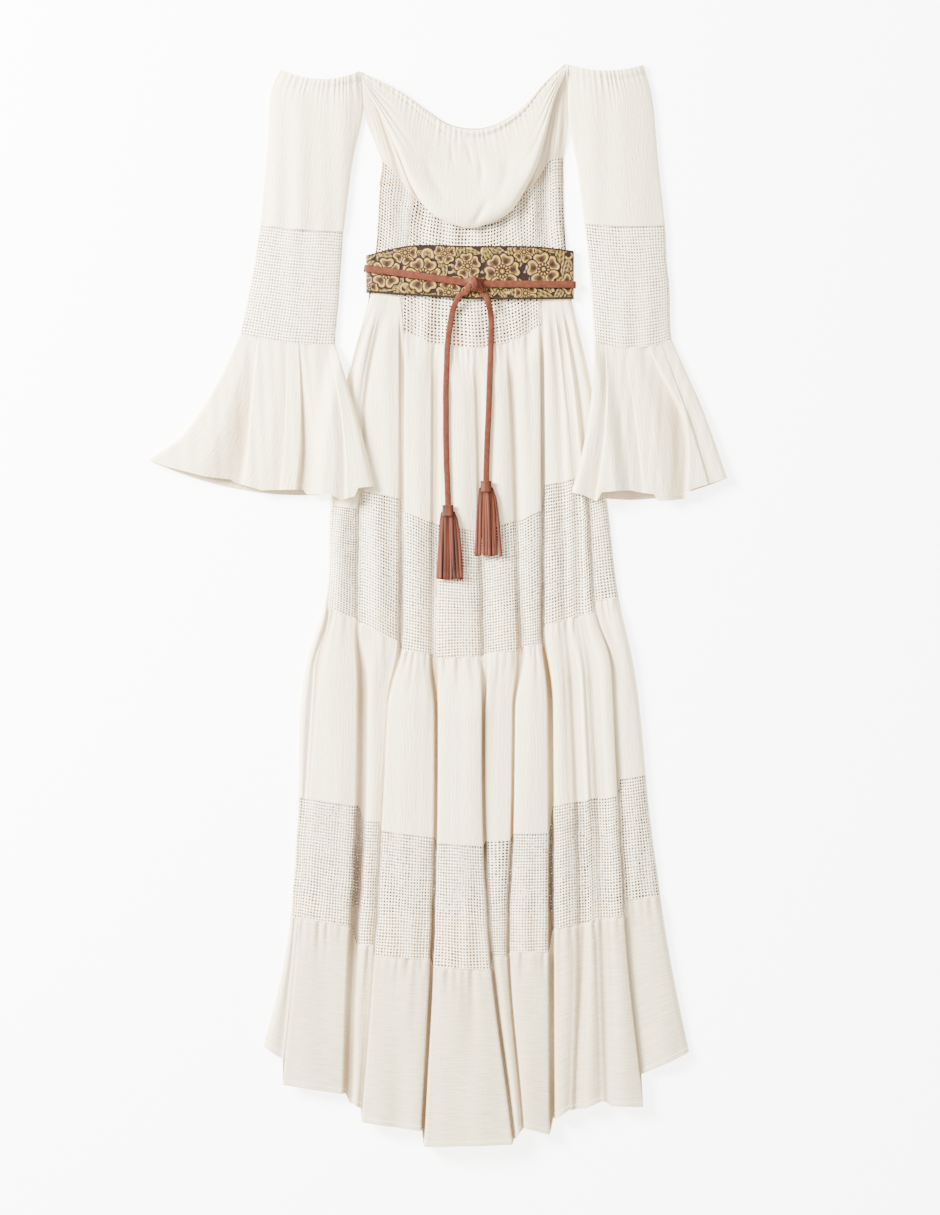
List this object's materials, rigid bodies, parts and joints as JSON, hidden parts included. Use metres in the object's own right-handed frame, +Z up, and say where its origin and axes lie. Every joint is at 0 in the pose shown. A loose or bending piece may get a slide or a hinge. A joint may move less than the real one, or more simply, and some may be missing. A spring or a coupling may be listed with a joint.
{
  "type": "maxi dress with sash belt",
  "caption": "Off-shoulder tiered maxi dress laid flat, with net bands, bell sleeves and a tooled leather sash belt tied with tasselled laces.",
  "frame": {"origin": "centre of the waist on the surface that the dress lies on, at the underside of the belt's back", "axes": "+X to the right of the laid dress seen from above, +Y towards the neckline, +Z up from the surface"},
  "size_m": [0.772, 1.44, 0.0255],
  "materials": {
    "gauze": "matt crinkled cotton gauze, cream",
    "net": "matt open cotton net, cream",
    "belt": "tooled and painted leather, gold and olive on brown, satin",
    "lace": "soft reddish brown leather, matt"
  },
  "bodies": {
    "root": {"yoke_front": "gauze", "yoke_side_left": "gauze", "yoke_side_right": "gauze", "yoke_back": "gauze", "bodice_net_front": "net", "bodice_net_back": "net", "skirt_tier_1_front": "gauze", "skirt_tier_1_back": "gauze", "skirt_net_1_front": "net", "skirt_net_1_back": "net", "skirt_tier_2_front": "gauze", "skirt_tier_2_back": "gauze", "skirt_net_2_front": "net", "skirt_net_2_back": "net", "hem_tier_front": "gauze", "hem_tier_back": "gauze", "sleeve_left_upper": "gauze", "sleeve_left_net": "net", "sleeve_left_flounce": "gauze", "sleeve_right_upper": "gauze", "sleeve_right_net": "net", "sleeve_right_flounce": "gauze", "belt_front": "belt", "belt_back": "belt", "tie_wrap_left": "lace", "tie_wrap_right": "lace", "tie_knot": "lace", "tie_tail_left": "lace", "tie_tail_right": "lace", "tassel_left": "lace", "tassel_right": "lace"}
  },
  "joints": []
}
